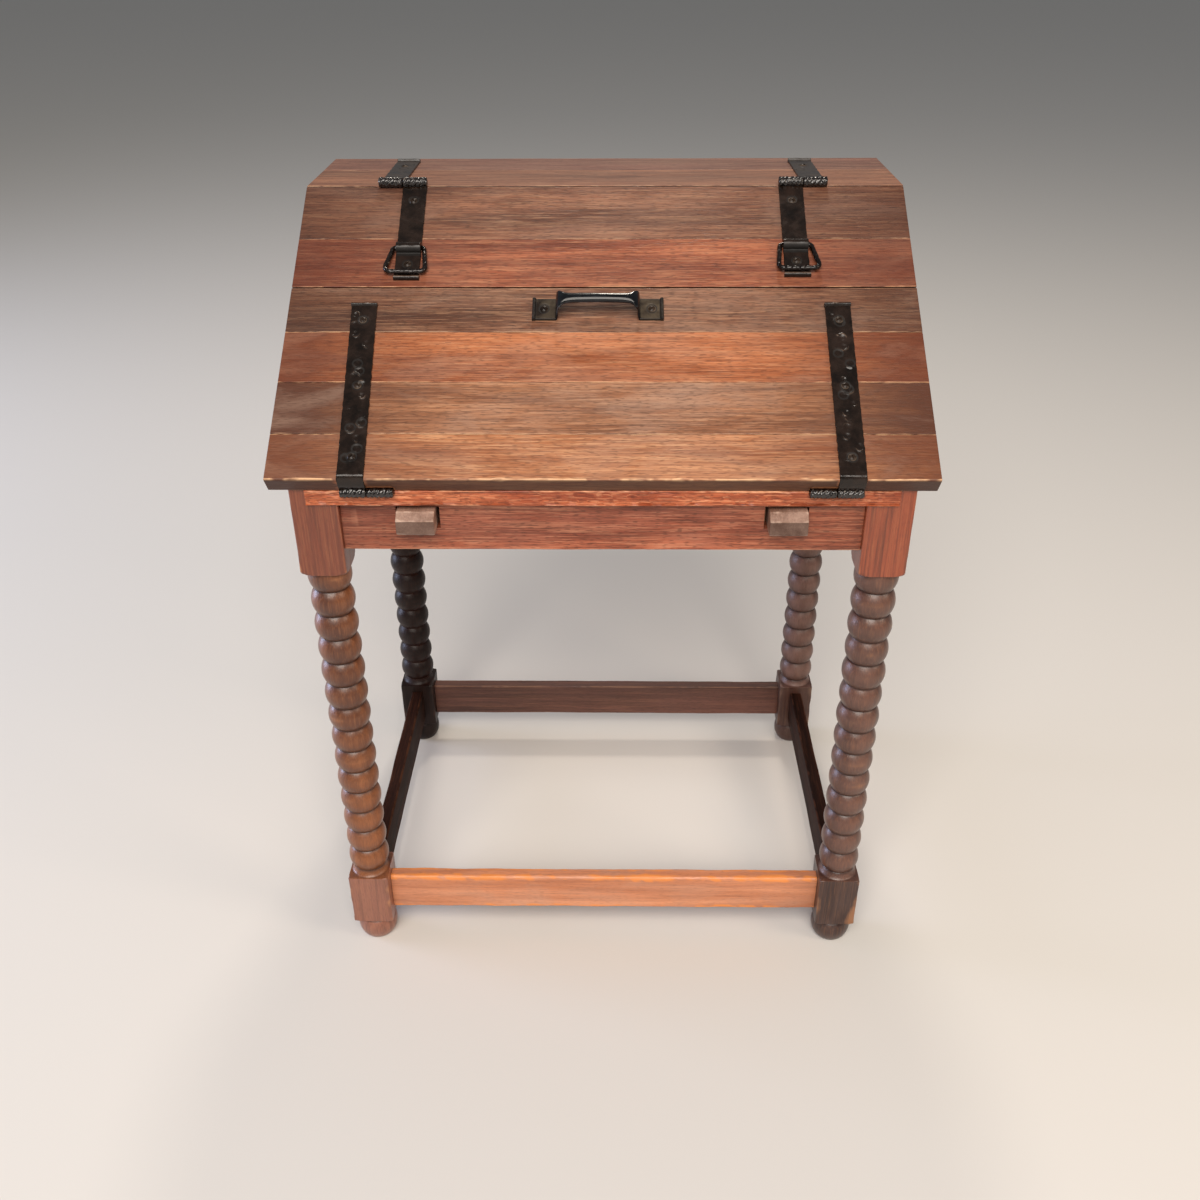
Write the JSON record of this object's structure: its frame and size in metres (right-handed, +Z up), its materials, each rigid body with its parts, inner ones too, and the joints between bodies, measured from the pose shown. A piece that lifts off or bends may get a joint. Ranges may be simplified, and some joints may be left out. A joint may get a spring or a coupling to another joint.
{
  "type": "slant-front writing desk",
  "caption": "Slant-front plank writing desk with hinged fall and lid, forged strap hinges, lifting rings, bow handle, pull-out lopers and bobbin-turned legs joined by low stretchers.",
  "frame": {"origin": "on the floor, under the middle of the whole desk's width and depth", "axes": "+Z up, +X to the sitter's right, +Y from the front lip to the back"},
  "size_m": [0.791, 0.5634, 1.0434],
  "materials": {
    "turned_wood": "satin, red-brown, worn on the high spots",
    "apron_wood": "satin, red-brown",
    "stretcher_wood": "worn satin, tan on the top edge",
    "bed_wood": "satin, red-brown, gouged front edge",
    "case_wood": "satin, red-brown",
    "top_wood": "waxed, red-brown, worn edges",
    "fall_wood": "waxed, red-brown to grey-brown boards with pale worn edges",
    "lid_wood": "waxed, grey-brown and orange-red boards with pale worn edges",
    "loper_wood": "dry, pale pinkish tan",
    "runner_wood": "unfinished",
    "strap_iron": "hammered black, semi-gloss",
    "ring_iron": "hammered black, semi-gloss",
    "handle_iron": "smooth blue-black, semi-gloss",
    "screw_iron": "blackened, worn bright in the slot",
    "pin_iron": "dark, oiled"
  },
  "bodies": {
    "stand_and_case": {"leg_front_left": "turned_wood", "leg_front_right": "turned_wood", "leg_back_left": "turned_wood", "leg_back_right": "turned_wood", "apron_front": "apron_wood", "apron_back": "apron_wood", "apron_left": "apron_wood", "apron_right": "apron_wood", "stretcher_front": "stretcher_wood", "stretcher_back": "stretcher_wood", "stretcher_left": "stretcher_wood", "stretcher_right": "stretcher_wood", "bed_board_1": "bed_wood", "bed_board_2": "bed_wood", "bed_board_3": "bed_wood", "case_side_left": "case_wood", "case_side_right": "case_wood", "back_board_lower": "case_wood", "back_board_upper": "case_wood", "top_rail": "case_wood", "top_board_front": "top_wood", "top_board_back": "top_wood", "loper_runner_left": "runner_wood", "loper_runner_right": "runner_wood", "top_leaf_left": "strap_iron", "top_leaf_right": "strap_iron", "bed_leaf_left": "strap_iron", "bed_leaf_right": "strap_iron", "top_leaf_screws": "screw_iron", "bed_leaf_screws": "screw_iron", "fall_hinge_pin_left": "pin_iron", "fall_hinge_pin_right": "pin_iron", "lid_hinge_pin_left": "pin_iron", "lid_hinge_pin_right": "pin_iron"},
    "fall": {"fall_plank_1": "fall_wood", "fall_plank_2": "fall_wood", "fall_plank_3": "fall_wood", "fall_plank_4": "fall_wood", "fall_strap_left": "strap_iron", "fall_strap_right": "strap_iron", "handle": "handle_iron", "fall_strap_screws": "screw_iron", "handle_screws": "screw_iron"},
    "lid": {"lid_plank_lower": "lid_wood", "lid_plank_upper": "lid_wood", "lid_strap_left": "strap_iron", "lid_strap_right": "strap_iron", "lid_strap_screws": "screw_iron"},
    "ring_left": {"ring_left": "ring_iron"},
    "ring_right": {"ring_right": "ring_iron"},
    "loper_left": {"loper_left": "loper_wood", "loper_stop_left": "runner_wood"},
    "loper_right": {"loper_right": "loper_wood", "loper_stop_right": "runner_wood"}
  },
  "joints": [
    {"name": "fall_hinge", "type": "hinge", "parent": "stand_and_case", "child": "fall", "pos_m": [0, -0.27243, 0.75753], "axis": [1, 0, 0], "range_deg": [0, 146]},
    {"name": "lid_hinge", "type": "hinge", "parent": "stand_and_case", "child": "lid", "pos_m": [0, 0.09199, 1.0366], "axis": [-1, 0, 0], "range_deg": [0, 190]},
    {"name": "ring_left_swing", "type": "hinge", "parent": "lid", "child": "ring_left", "pos_m": [-0.25048, 0.00077, 0.97393], "axis": [-1, 0, 0], "range_deg": [0, 150]},
    {"name": "ring_right_swing", "type": "hinge", "parent": "lid", "child": "ring_right", "pos_m": [0.24648, 0.00492, 0.97672], "axis": [-1, 0, 0], "range_deg": [0, 150]},
    {"name": "loper_left_slide", "type": "slide", "parent": "stand_and_case", "child": "loper_left", "axis": [0, -1, 0], "range_m": [-0.02, 0.21]},
    {"name": "loper_right_slide", "type": "slide", "parent": "stand_and_case", "child": "loper_right", "axis": [0, -1, 0], "range_m": [-0.02, 0.21]}
  ]
}
